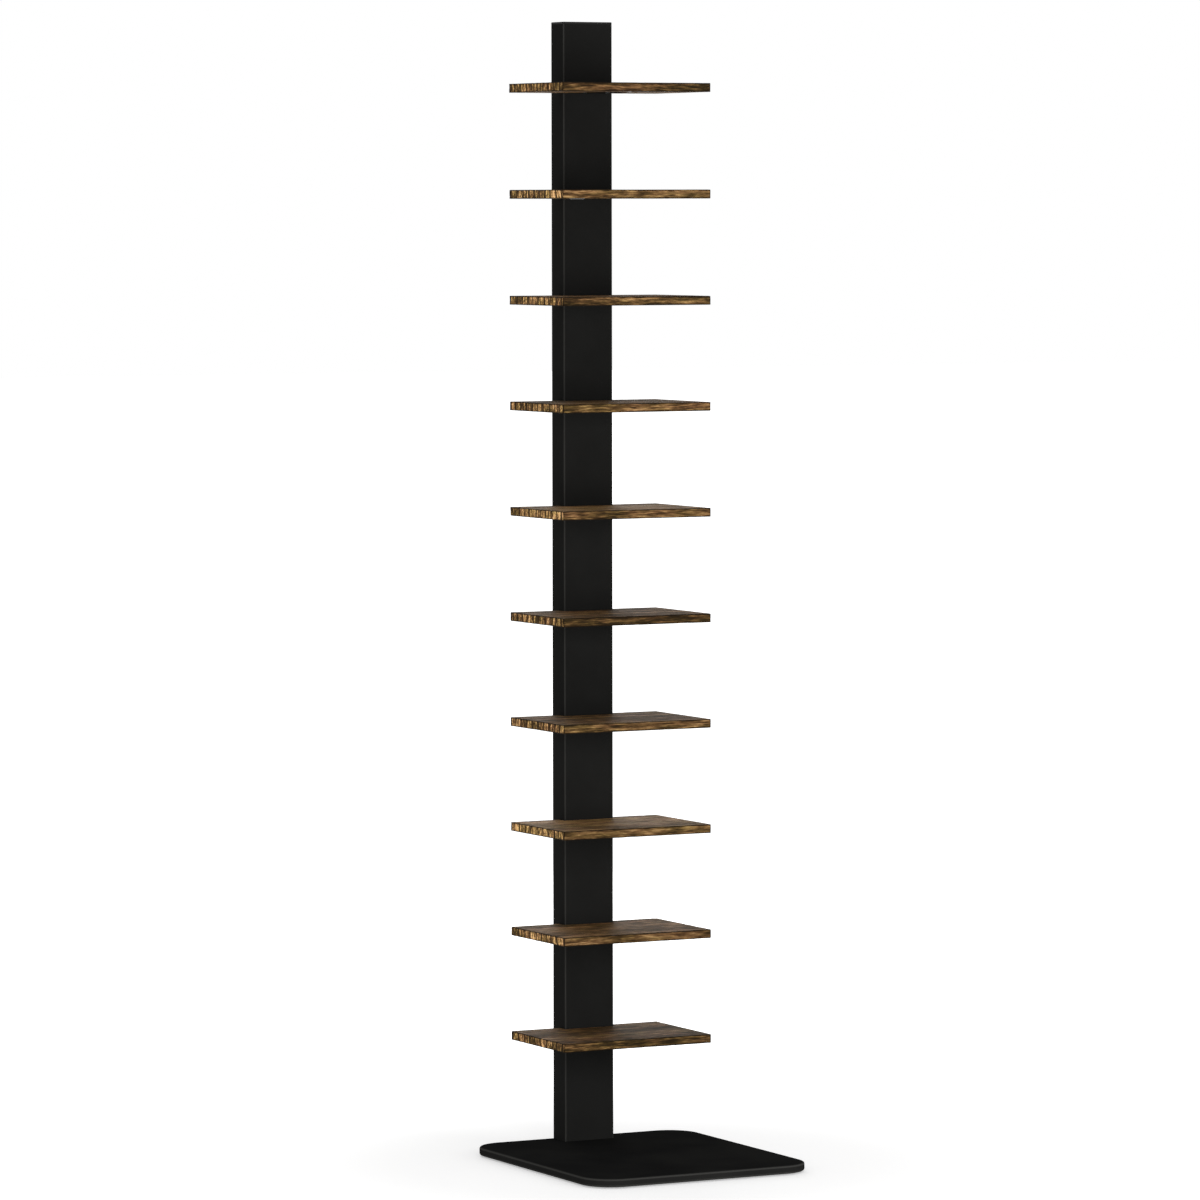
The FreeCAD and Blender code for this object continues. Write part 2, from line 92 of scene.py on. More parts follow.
# how many times as far the scorch runs from each upright corner as from an arris: front left,
# front right, rear right, rear left, and front left again, where the way round ends
CORNER_SCORCH = np.array([0.6, 1.0, 4.0, 4.0, 0.6])
ARRIS_RADIUS = 0.85 * MM
ARRIS_WEAR = 0.3 * MM
BRUSHED_DEPTH = 0.1 * MM
FIBRE_DEPTH = 0.08 * MM
SAWN_WAVE_DEPTH = 0.06 * MM
CHIP_DEPTH = 0.75 * MM
CHIP_REACH = 1.6 * MM
CHIP_LEVEL = 0.3
SEAT_MARGIN = 1 * MM
SEAT_ABOVE = 0.1 * MM

# cells of the timber's noises: along the grain, across it and up
ARRIS_WEAR_CELL = np.array([14, 14, 14]) * MM
RING_WANDER_CELL = np.array([240, 26, 30]) * MM
RING_RIPPLE_CELL = np.array([110, 7, 9]) * MM
FIBRE_CELL = np.array([45, 2.4, 2.4]) * MM
SAWN_WAVE_CELL = np.array([70, 24, 24]) * MM
CHIP_CELL = np.array([9, 6, 4]) * MM

TIMBER_SEED = 20
(
    UPPER_ARRIS_SEED, LOWER_ARRIS_SEED, RING_WANDER_SEED, RING_RIPPLE_SEED, FIBRE_SEED,
    SAWN_WAVE_SEED, CHIP_SEED,
) = range(TIMBER_SEED + 1, TIMBER_SEED + 8)

# painted highlight: how far the coat's tone goes to grey on a plate's edge, and further on a
# rounded arris
EDGE_HIGHLIGHT_SHARE = 0.06
ARRIS_HIGHLIGHT_SHARE = 0.3

NOISE_TABLE = 4096
NOISE_STRIDES = np.array([1619, 3137, 6971])


def linear(hex_colour):
    """sRGB hex colour as linear RGBA, by the standard's own curve."""
    channels = np.array([int(hex_colour[i:i + 2], 16) for i in (1, 3, 5)]) / 255
    low = channels / 12.92
    high = ((channels + 0.055) / 1.055) ** 2.4
    return (*np.where(channels <= 0.04045, low, high), 1.0)


def add(tree, kind, inputs=None, stops=None, **settings):
    """Adds one node. Settings are its own properties, inputs are values or sockets by the
    input's name or number, and stops are the places and colours of a colour ramp."""
    node = tree.nodes.new(kind)
    for name, value in settings.items():
        setattr(node, name, value)
    for key, value in (inputs or {}).items():
        if isinstance(value, bpy.types.NodeSocket):
            tree.links.new(value, node.inputs[key])
        else:
            node.inputs[key].default_value = value
    if stops:
        elements = node.color_ramp.elements
        while len(elements) < len(stops):
            elements.new(1.0)
        for element, (place, colour) in zip(elements, stops):
            element.position = place
            element.color = colour if len(colour) == 4 else linear(colour)
    return node


def new_material(name):
    """A material with only its output node, and its node tree."""
    material = bpy.data.materials.new(name)
    material.use_nodes = True
    tree = material.node_tree
    tree.nodes.clear()
    return material, tree


def smooth_noise(places, cell, seed):
    """Seeded noise from -1 to 1: random heights at the corners of a lattice with cells of the
    given sizes, blended between the eight corners round a place by 3t² - 2t³ along each axis."""
    heights = np.random.default_rng(seed).uniform(-1, 1, NOISE_TABLE)
    scaled = places / np.array(cell)
    whole = np.floor(scaled).astype(int)
    part = scaled - whole
    part = part * part * (3 - 2 * part)
    total = np.zeros(places.shape[:-1])
    for corner in np.ndindex(2, 2, 2):
        pick = ((whole + corner) * NOISE_STRIDES).sum(axis=-1) % NOISE_TABLE
        share = np.where(np.array(corner, bool), part, 1 - part).prod(axis=-1)
        total += share * heights[pick]
    return total


def rounded_corner(corner, radius, side, before, after, steps):
    """Arc of the plan: its centre plus (side 1, outer corner) or minus (side -1, inner corner)
    the radius times the outward direction, which turns from one run's to the next's."""
    turn = np.linspace(0, np.pi / 2, steps + 1)[:, None]
    outward = np.cos(turn) * before + np.sin(turn) * after
    centre = corner - side * radius * (before + after)
    return centre + side * radius * outward, outward


def straight_run(xs, ys, outward):
    """Places along a straight run of the plan without its two ends, all facing the same way."""
    places = np.stack(np.broadcast_arrays(xs, ys), axis=-1)[1:-1]
    return places, np.broadcast_to(outward, places.shape)


def crossing_places(outer):
    """Where the lines across the board start, from its middle outwards: those behind the
    tongue and the lip of the notch, and all those on half of the front, which ends at outer."""
    lip = NOTCH_HALF_WIDTH - NOTCH_CORNER_RADIUS
    behind = np.concatenate([
        np.linspace(0, RECESS_HALF_WIDTH - RECESS_WALL_LEAN, RECESS_HALF_COLUMNS),
        np.linspace(RECESS_HALF_WIDTH, lip, LIP_COLUMNS),
    ])
    crowd = FRONT_OF_NOTCH_SIDE
    half_front = np.concatenate([
        behind,
        np.linspace(lip, crowd[0], NOTCH_CORNER_STEPS + 1)[1:],
        np.linspace(crowd[0], crowd[1], NOTCH_SIDE_STEPS + 1)[1:],
        np.linspace(crowd[1], crowd[2], CORNER_STEPS + 1)[1:],
        np.linspace(crowd[2], outer, REAR_RUN_STEPS + 1)[1:],
    ])
    return behind, half_front


def end_rows(front, rear):
    """Where the lines along the board start on its ends. Two of them are set so that the
    recess's front wall falls between them where the tongue is, at the share of the way from
    the front to the notch's back that its place has."""
    notch_back = rear - NOTCH_DEPTH
    share = (RECESS_FRONT - front - FACE_INSET) / (notch_back - front - 2 * FACE_INSET)
    wall = front + FACE_INSET + share * (rear - front - 2 * FACE_INSET)
    return np.concatenate([
        np.linspace(front + CORNER_RADIUS, wall, ROWS_BEFORE_RECESS + 1),
        np.linspace(wall + RECESS_WALL_LEAN, rear - CORNER_RADIUS, ROWS_BEHIND_RECESS + 1),
    ])


def board_plan(half_width, front, rear):
    """The plan's four sides, each as places and outward directions, anticlockwise from the
    front left corner. Lines across the board join front and rear places of the same number,
    so the front's places crowd where the rear goes down and up the sides of the notch."""
    left, right = np.array([-1.0, 0]), np.array([1.0, 0])
    forward, back = np.array([0, -1.0]), np.array([0, 1.0])
    notch_back = rear - NOTCH_DEPTH
    inner, outer = NOTCH_HALF_WIDTH, half_width - CORNER_RADIUS

    def outer_corner(x, y, before, after):
        return rounded_corner(np.array([x, y]), CORNER_RADIUS, 1, before, after, CORNER_STEPS)

    def inner_corner(x, before, after):
        return rounded_corner(
            np.array([x, notch_back]), NOTCH_CORNER_RADIUS, -1, before, after,
            NOTCH_CORNER_STEPS,
        )

    a = outer_corner(-half_width, front, left, forward)
    b = outer_corner(half_width, front, forward, right)
    c = outer_corner(half_width, rear, right, back)
    d = outer_corner(inner, rear, back, left)
    e = inner_corner(inner, left, back)
    f = inner_corner(-inner, back, right)
    g = outer_corner(-inner, rear, right, back)
    h = outer_corner(-half_width, rear, back, left)

    behind, half_front = crossing_places(outer)
    front_x = np.concatenate([-half_front[:0:-1], half_front])
    back_x = np.concatenate([behind[::-1], -behind[1:]])
    ear_x = np.linspace(outer, inner + CORNER_RADIUS, REAR_RUN_STEPS + 1)
    ear_y = np.linspace(
        rear - CORNER_RADIUS, notch_back + NOTCH_CORNER_RADIUS, NOTCH_SIDE_STEPS + 1
    )
    side_y = end_rows(front, rear)
    middle = CORNER_STEPS // 2
    first, last = slice(0, middle + 1), slice(middle, None)
    sides = [
        [(a, last), straight_run(front_x, front, forward), (b, first)],
        [(b, last), straight_run(half_width, side_y, right), (c, first)],
        [
            (c, last), straight_run(ear_x, rear, back), d,
            straight_run(inner, ear_y, left), e,
            straight_run(back_x, notch_back, back), f,
            straight_run(-inner, ear_y[::-1], right), g,
            straight_run(-ear_x[::-1], rear, back), (h, first),
        ],
        [(h, last), straight_run(-half_width, side_y[::-1], left), (a, first)],
    ]
    joined = []
    for side in sides:
        parts = [
            (part[0][0][part[1]], part[0][1][part[1]]) if isinstance(part[1], slice) else part
            for part in side
        ]
        joined.append(tuple(np.concatenate(arrays) for arrays in zip(*parts)))
    return joined


def filled_face(sides):
    """Grid between four joined sides: for each pair of opposite sides the straight blend, the
    two added, less the blend of the four corners, so that every side is met exactly."""
    front, right, rear, left = (places - FACE_INSET * outward for places, outward in sides)
    rear, left = rear[::-1], left[::-1]
    v = (left[:, 1] - left[0, 1]) / (left[-1, 1] - left[0, 1])
    u = np.linspace(0, 1, len(front))
    u, v = u[:, None, None], v[None, :, None]
    along = (1 - v) * front[:, None] + v * rear[:, None]
    across = (1 - u) * left[None] + u * right[None]
    corners = (
        (1 - u) * (1 - v) * front[0] + u * (1 - v) * front[-1]
        + (1 - u) * v * rear[0] + u * v * rear[-1]
    )
    return along + across - corners


def edge_gaps(places, half_width, front, rear):
    """Distance in plan from places on a flat face to the board's nearest edge: the least of
    those to the ends, the front, the rear and the notch, whose corner is gone round."""
    x, y = np.abs(places[..., 0]), places[..., 1]
    to_notch = np.hypot(
        np.maximum(x - NOTCH_HALF_WIDTH, 0), np.maximum(rear - NOTCH_DEPTH - y, 0)
    )
    return np.minimum.reduce([half_width - x, y - front, rear - y, to_notch])


def rim_section(plan, log_shift, bottom, top, rear):
    """Section of the rim at each place round the plan, in rows from the upper face to the lower:
    how far it lies in from the plan, its height, and its outward direction's tilt from upright.
    An arris of radius r is a quarter turn, r(1 - sin t) in and r(1 - cos t) from its face, and
    wear changes r. Between the two arrises the edge goes straight down."""
    around = len(plan)
    on_path = np.concatenate([plan, np.zeros((around, 1))], axis=1) + log_shift
    radius_top, radius_low = (
        ARRIS_RADIUS + ARRIS_WEAR * smooth_noise(on_path, ARRIS_WEAR_CELL, seed)
        for seed in (UPPER_ARRIS_SEED, LOWER_ARRIS_SEED)
    )
    in_recess = (np.abs(plan[:, 0]) < RECESS_HALF_WIDTH - RECESS_WALL_LEAN / 2) & (
        np.abs(plan[:, 1] - (rear - NOTCH_DEPTH)) < RECESS_WALL_LEAN
    )
    floor_height = np.where(in_recess, bottom + RECESS_DEPTH, bottom)
    turn = np.linspace(0, np.pi / 2, ARRIS_STEPS + 1)[:, None]
    down = np.linspace(0, 1, EDGE_STEPS + 1)[1:-1, None]
    upper_end, lower_end = top - radius_top, floor_height + radius_low
    face_row = np.full((1, around), FACE_INSET)
    flat = np.zeros((1, around))
    inset = np.concatenate([
        face_row,
        radius_top * (1 - np.sin(turn)),
        np.zeros((EDGE_STEPS - 1, around)),
        radius_low * (1 - np.sin(turn[::-1])),
        face_row,
    ])
    height = np.concatenate([
        flat + top,
        top - radius_top * (1 - np.cos(turn)),
        upper_end + down * (lower_end - upper_end),
        floor_height + radius_low * (1 - np.cos(turn[::-1])),
        flat + floor_height,
    ])
    tilt = np.concatenate([
        [[0.0]], turn, np.full((EDGE_STEPS - 1, 1), np.pi / 2), np.pi - turn[::-1], [[np.pi]],
    ]) * np.ones((1, around))
    return inset, height, tilt


def carried_round(plan, outward, inset, height, tilt):
    """The section carried round the plan: each place is the plan's less the inset along its
    outward direction, and faces sin(tilt) along that direction and cos(tilt) upwards."""
    places = np.empty((*inset.shape, 3))
    places[..., :2] = plan - inset[..., None] * outward
    places[..., 2] = height
    facing = np.empty_like(places)
    facing[..., :2] = np.sin(tilt)[..., None] * outward
    facing[..., 2] = np.cos(tilt)
    return places, facing


def face_places(grid, bottom, top):
    """Places of the upper and the lower flat face inside their borders, which the rim's first
    and last rows hold. The lower face steps up by the recess's depth where the tongue lies."""
    across, along = grid.shape[0] - 1, grid.shape[1] - 1
    columns, lines = np.meshgrid(np.arange(across + 1), np.arange(along + 1), indexing="ij")
    recess_columns = np.abs(columns - across // 2) < RECESS_HALF_COLUMNS
    recess_lines = lines > CORNER_STEPS // 2 + ROWS_BEFORE_RECESS
    low_height = np.where(recess_columns & recess_lines, bottom + RECESS_DEPTH, bottom)
    upper = np.concatenate([grid, np.full(grid.shape[:2] + (1,), top)], axis=-1)
    lower = np.concatenate([grid, low_height[..., None]], axis=-1)
    return upper[1:-1, 1:-1], lower[1:-1, 1:-1]


def corner_gaps(plan, sides):
    """Way round the plan from each place to the upright corners, divided by how far each
    corner's scorch runs, and the least of these."""
    steps = np.linalg.norm(np.roll(plan, -1, axis=0) - plan, axis=1)
    travelled = np.concatenate([[0], np.cumsum(steps)[:-1]])
    starts = np.cumsum([0] + [len(side[0]) - 1 for side in sides[:-1]])
    to_corner = np.abs(travelled[:, None] - np.append(travelled[starts], steps.sum()))
    return (to_corner / CORNER_SCORCH).min(axis=1)


def rim_gaps(section, corner_gap, bottom, top):
    """Gap on the rim to the nearest arris: on the upright edge the lesser height to a face,
    elsewhere the inset, and nowhere more than the gap to an upright corner."""
    inset, height, tilt = section
    height_gap = np.minimum(top - height, height - bottom)
    upright = np.isclose(tilt, np.pi / 2)
    return np.minimum(np.where(upright, height_gap, inset), corner_gap)


def rings_from_pith(places, in_log, pith):
    """Rings between the pith and each place: the distance square to the grain, plus a slow
    wander and a finer ripple, over the ring pitch."""
    wander = RING_WANDER * (
        smooth_noise(in_log, RING_WANDER_CELL, RING_WANDER_SEED)
        + RING_RIPPLE_SHARE * smooth_noise(in_log, RING_RIPPLE_CELL, RING_RIPPLE_SEED)
    )
    distance = np.hypot(places[:, 1] - pith[0], places[:, 2] - pith[1]) + wander
    return distance / RING_PITCH


def timber_wear(in_log, ring_count, gap):
    """Depth worn off: brushing takes earlywood and spares latewood, fibres are combed out, the
    saw leaves low waves, and chips are lost near an arris, fading as exp(-gap / reach)."""
    ring_part = ring_count - np.floor(ring_count)
    late = np.clip((ring_part - (1 - LATEWOOD_SHARE)) / LATEWOOD_SHARE, 0, 1)
    fibre = smooth_noise(in_log, FIBRE_CELL, FIBRE_SEED)
    sawn = smooth_noise(in_log, SAWN_WAVE_CELL, SAWN_WAVE_SEED)
    chips = smooth_noise(in_log, CHIP_CELL, CHIP_SEED)
    return (
        BRUSHED_DEPTH * (1 - late)
        + FIBRE_DEPTH * np.maximum(fibre, 0)
        + SAWN_WAVE_DEPTH * (0.5 + 0.5 * sawn)
        + CHIP_DEPTH * np.maximum(chips - CHIP_LEVEL, 0) * np.exp(-gap / CHIP_REACH)
    )


def tongue_seat(places, bottom):
    """Where the skin is the tongue's seat, which stays unworn."""
    return (
        (np.abs(places[:, 0]) < RECESS_HALF_WIDTH + SEAT_MARGIN)
        & (places[:, 1] > RECESS_FRONT - SEAT_MARGIN)
        & (places[:, 2] < bottom + RECESS_DEPTH + SEAT_ABOVE)
    )


def skin_quads(rows, around, across, along):
    """Quads of the closed skin. Place numbers run through the rim, then the upper face's inner
    places, then the lower's. A face's table of numbers has a row of the rim as its border."""
    rim = np.arange(rows * around).reshape(rows, around)
    beside = np.roll(rim, -1, axis=1)
    rim_quads = np.stack([rim[:-1], rim[1:], beside[1:], beside[:-1]], axis=-1)
    quads = [rim_quads.reshape(-1, 4)]
    inner = np.arange((across - 1) * (along - 1)).reshape(across - 1, along - 1)
    for row, start, flip in ((0, rim.size, False), (-1, rim.size + inner.size, True)):
        border = np.append(rim[row], rim[row, 0])
        table = np.empty((across + 1, along + 1), int)
        table[1:-1, 1:-1] = start + inner
        table[:, 0] = border[:across + 1]
        table[-1, :] = border[across:across + along + 1]
        table[::-1, -1] = border[across + along:2 * across + along + 1]
        table[0, ::-1] = border[2 * across + along:]
        corners = table[:-1, :-1], table[1:, :-1], table[1:, 1:], table[:-1, 1:]
        face = np.stack(corners, axis=-1).reshape(-1, 4)
        quads.append(face[:, ::-1] if flip else face)
    return np.concatenate(quads)


def board_object(name, places, quads, in_log, measures):
    """A mesh object of the skin, with its place in the log and its measures as attributes."""
    mesh = bpy.data.meshes.new(name)
    mesh.from_pydata(places, [], quads.tolist())
    mesh.shade_smooth()
    mesh.set_sharp_from_angle(angle=SHARP_ANGLE)
    for label, values in measures.items():
        attribute = mesh.attributes.new(label, "FLOAT", "POINT")
        attribute.data.foreach_set("value", values.astype(np.float32))
    attribute = mesh.attributes.new("in_log", "FLOAT_VECTOR", "POINT")
    attribute.data.foreach_set("vector", in_log.astype(np.float32).ravel())
    board = bpy.data.objects.new(name, mesh)
    bpy.context.scene.collection.objects.link(board)
    return board


def make_board(number):
    """One solid-wood board as a closed skin: a rim carried round the plan and two flat faces.
    All places are then sunk along their outward direction by the wear, which follows the
    timber's rings and fibres. The skin carries its place in the log, ring count, gap to the
    nearest arris, share of end grain and of flat face, and its board's tone for the finish."""
    low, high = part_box(f"shelf_board_{number:02d}")
    half_width, front, rear = high.x, low.y, high.y
    bottom, top = low.z, high.z
    random = np.random.default_rng(TIMBER_SEED + number)
    log_shift = random.uniform(-LOG_SHIFT, LOG_SHIFT, 3)

    sides = board_plan(half_width, front, rear)
    plan = np.concatenate([places[:-1] for places, _ in sides])
    outward = np.concatenate([directions[:-1] for _, directions in sides])
    section = rim_section(plan, log_shift, bottom, top, rear)
    rim, rim_facing = carried_round(plan, outward, *section)
    grid = filled_face(sides)
    upper, lower = face_places(grid, bottom, top)
    up = np.broadcast_to([0.0, 0, 1], upper.shape).reshape(-1, 3)
    places = np.concatenate([rim.reshape(-1, 3), upper.reshape(-1, 3), lower.reshape(-1, 3)])
    facing = np.concatenate([rim_facing.reshape(-1, 3), up, -up])

    rim_gap = rim_gaps(section, corner_gaps(plan, sides), bottom, top).ravel()
    face_gap = edge_gaps(grid[1:-1, 1:-1], half_width, front, rear).ravel()
    gap = np.concatenate([rim_gap, face_gap, face_gap])

    # the pith lies off to the front or the rear of the board
    pith_side = random.choice([-1, 1])
    pith_away = PITH_AWAY * random.uniform(*PITH_AWAY_SPREAD)
    pith_y = (front if pith_side < 0 else rear) + pith_side * pith_away
    pith_z = (top + bottom) / 2 + PITH_DOWN * random.uniform(-1, 1)
    in_log = places - np.array([0, front, bottom]) + log_shift
    ring_count = rings_from_pith(places, in_log, (pith_y, pith_z))
    ring_count = ring_count + random.uniform(0, RING_COUNT_SPREAD)
    wear = np.where(tongue_seat(places, bottom), 0, timber_wear(in_log, ring_count, gap))
    places = places - wear[:, None] * facing

    quads = skin_quads(*rim.shape[:2], grid.shape[0] - 1, grid.shape[1] - 1)
    measures = {
        "ring_count": ring_count,
        "arris_gap": gap,
        "end_grain": np.abs(facing[:, 0]),
        "flat_face": np.abs(facing[:, 2]),
        "board_tone": np.full(len(places), random.uniform(-1, 1)),
    }
    board = board_object(f"scorched_board_{number:02d}", places, quads, in_log, measures)
    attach(board, "root")
    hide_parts(f"shelf_board_{number:02d}")
    return board


# cells per metre along the grain, across it and up
PATTERN_SCALES = (
    (14, 230, 230),  # streaks, 70 mm by 4 mm
    (45, 400, 400),  # flecks, 22 mm by 2.5 mm
    (14, 36, 60),  # patches, 70 mm by 28 mm
    (50, 1000, 1000),  # fibres, 20 mm by 1 mm
    (60, 330, 62),  # upright strokes on the sawn ends, 16 mm by 3 mm
)


def timber_patterns(tree, in_log):
    """One noise for each of the pattern scales, stretched along the grain of the log."""
    patterns = []
    for scale in PATTERN_SCALES:
        place = add(tree, "ShaderNodeMapping", {"Vector": in_log, "Scale": scale}).outputs[0]
        noise = add(
            tree, "ShaderNodeTexNoise",
            {"Vector": place, "Scale": 1.0, "Detail": 6.0, "Roughness": 0.66},
        ).outputs["Fac"]
        patterns.append(noise)
    return patterns


def timber_tone(tree, patterns, rings, end, board_tone):
    """Tone from 0 to 1: the patterns' weighted sum, with a tone of its own for each ring and
    each board. On sawn ends, strokes take the place of the streaks."""
    streaks, flecks, patches, _, strokes = patterns
    ring_number = add(tree, "ShaderNodeMath", {0: rings}, operation="FLOOR").outputs[0]
    ring_tone = add(
        tree, "ShaderNodeTexWhiteNoise", {"W": ring_number}, noise_dimensions="1D"
    ).outputs["Value"]
    strong_strokes = add(
        tree, "ShaderNodeMapRange",
        {"Value": strokes, "From Min": 0.3, "From Max": 0.7, "To Min": 0.0, "To Max": 1.0},
    ).outputs[0]
    tone = add(
        tree, "ShaderNodeMix", {0: end, 2: streaks, 3: strong_strokes}, data_type="FLOAT"
    ).outputs[0]
    for pattern, weight in (
        (flecks, 1.5), (patches, 0.75), (ring_tone, 0.2), (board_tone, 0.08),
    ):
        tone = add(
            tree, "ShaderNodeMath", {0: pattern, 1: weight, 2: tone}, operation="MULTIPLY_ADD"
        ).outputs[0]
    return add(
        tree, "ShaderNodeMapRange", {"Value": tone, "From Min": 1.44, "From Max": 2.10}
    ).outputs[0]


def long_grain_colour(tree, tone, patches):
    """The tone's colour between two browns, golden in some patches and reddish in others."""
    golden = add(
        tree, "ShaderNodeValToRGB", {"Fac": tone},
        stops=[
            (0.0, "#2b2111"), (0.25, "#4a391e"), (0.5, "#705831"), (0.75, "#9a7d4b"),
            (1.0, "#d0ac6b"),
        ],
    ).outputs["Color"]
    reddish = add(
        tree, "ShaderNodeValToRGB", {"Fac": tone},
        stops=[
            (0.0, "#291c11"), (0.25, "#4b3520"), (0.5, "#735234"), (0.75, "#a07a50"),
            (1.0, "#cfa571"),
        ],
    ).outputs["Color"]
    hue = add(
        tree, "ShaderNodeMapRange", {"Value": patches, "From Min": 0.4, "From Max": 0.6}
    ).outputs[0]
    return add(
        tree, "ShaderNodeMix", {0: hue, 6: golden, 7: reddish}, data_type="RGBA"
    ).outputs[2]


def lightened_by_cut_and_painted_light(tree, colour, fibres, end, flat):
    """The colour times three lifts: sawn ends stay much lighter than long grain, flat faces get
    a painted light that makes them a shade lighter than edges, and fibres run lighter and darker
    in fine stripes."""
    end_lift = add(
        tree, "ShaderNodeMapRange", {"Value": end, "To Min": 0.88, "To Max": 2.1}
    ).outputs[0]
    # painted light: flat faces a shade lighter than edges, for how the light falls on them
    painted_face_light = add(
        tree, "ShaderNodeMapRange", {"Value": flat, "To Min": 1.0, "To Max": 1.05}
    ).outputs[0]
    fibre_lift = add(
        tree, "ShaderNodeMapRange",
        {"Value": fibres, "From Min": 0.3, "From Max": 0.7, "To Min": 1.5, "To Max": 0.75},
    ).outputs[0]
    lift = add(
        tree, "ShaderNodeMath", {0: end_lift, 1: painted_face_light}, operation="MULTIPLY"
    ).outputs[0]
    lift = add(
        tree, "ShaderNodeMath", {0: lift, 1: fibre_lift}, operation="MULTIPLY"
    ).outputs[0]
    return add(
        tree, "ShaderNodeVectorMath", {0: colour, 3: lift}, operation="SCALE"
    ).outputs[0]


def cracked_along_fibres(tree, colour, fibres):
    """Thin dark lines where the scorched surface opens along the fibres."""
    cracked = add(
        tree, "ShaderNodeMapRange",
        {"Value": fibres, "From Min": 0.57, "From Max": 0.66, "To Min": 0.0, "To Max": 0.75},
    ).outputs[0]
    return add(
        tree, "ShaderNodeMix", {0: cracked, 6: colour, 7: linear("#22170b")}, data_type="RGBA"
    ).outputs[2]


def darkened_by_latewood(tree, colour, rings, end):
    """The last part of each ring darkens, then stops sharply, most of all on sawn ends."""
    part = add(tree, "ShaderNodeMath", {0: rings}, operation="FRACT").outputs[0]
    late = add(
        tree, "ShaderNodeValToRGB", {"Fac": part},
        stops=[
            (0.0, (0.7, 0.7, 0.7, 1)), (0.08, (0.0, 0.0, 0.0, 1)), (0.66, (0.05, 0.05, 0.05, 1)),
            (0.88, (0.95, 0.95, 0.95, 1)), (1.0, (0.95, 0.95, 0.95, 1)),
        ],
    ).outputs["Color"]
    late_share = add(
        tree, "ShaderNodeMapRange", {"Value": end, "To Min": 0.4, "To Max": 1.0}
    ).outputs[0]
    late = add(
        tree, "ShaderNodeMath", {0: late, 1: late_share}, operation="MULTIPLY"
    ).outputs[0]
    return add(
        tree, "ShaderNodeMix", {0: late, 6: colour, 7: linear("#33220f")}, data_type="RGBA"
    ).outputs[2]


def burnt_at_arrises(tree, colour, gap, flecks):
    """Burnt dark along every arris, then fading within a reach that the flecks break up."""
    reach = add(
        tree, "ShaderNodeMapRange",
        {
            "Value": flecks, "From Min": 0.35, "From Max": 0.65, "To Min": 2.8 * MM,
            "To Max": 1.6 * MM,
        },
    ).outputs[0]
    burnt = add(
        tree, "ShaderNodeMapRange",
        {"Value": gap, "From Min": 0.8 * MM, "From Max": reach, "To Min": 0.93, "To Max": 0.0},
        interpolation_type="SMOOTHSTEP",
    ).outputs[0]
    return add(
        tree, "ShaderNodeMix", {0: burnt, 6: colour, 7: linear("#1a1108")}, data_type="RGBA"
    ).outputs[2]


def scorched_softwood():
    """Fast-grown softwood, sawn, torch-scorched, brushed and oiled: golden earlywood between
    dark latewood lines, streaks along the grain, burnt dark arrises and a low, broken sheen."""
    material, tree = new_material("scorched_brushed_softwood")
    in_log = add(tree, "ShaderNodeAttribute", attribute_name="in_log").outputs["Vector"]
    rings, gap, end, flat, board_tone = (
        add(tree, "ShaderNodeAttribute", attribute_name=name).outputs["Fac"]
        for name in ("ring_count", "arris_gap", "end_grain", "flat_face", "board_tone")
    )
    patterns = timber_patterns(tree, in_log)
    _, flecks, patches, fibres, _ = patterns
    tone = timber_tone(tree, patterns, rings, end, board_tone)
    colour = long_grain_colour(tree, tone, patches)
    colour = lightened_by_cut_and_painted_light(tree, colour, fibres, end, flat)
    colour = cracked_along_fibres(tree, colour, fibres)
    colour = darkened_by_latewood(tree, colour, rings, end)
    colour = burnt_at_arrises(tree, colour, gap, flecks)
    roughness = add(
        tree, "ShaderNodeMapRange", {"Value": tone, "To Min": 0.85, "To Max": 0.65}
    ).outputs[0]
    relief = add(
        tree, "ShaderNodeMath", {0: fibres, 1: flecks}, operation="ADD"
    ).outputs[0]
    bump = add(
        tree, "ShaderNodeBump", {"Height": relief, "Strength": 0.6, "Distance": 0.4 * MM}
    ).outputs[0]
    wood = add(
        tree, "ShaderNodeBsdfPrincipled",
        {
            "Base Color": colour, "Roughness": roughness, "Normal": bump,
            "IOR": 1.5, "Specular IOR Level": 0.06,
        },
    )
    add(tree, "ShaderNodeOutputMaterial", {"Surface": wood.outputs[0]})
    return material


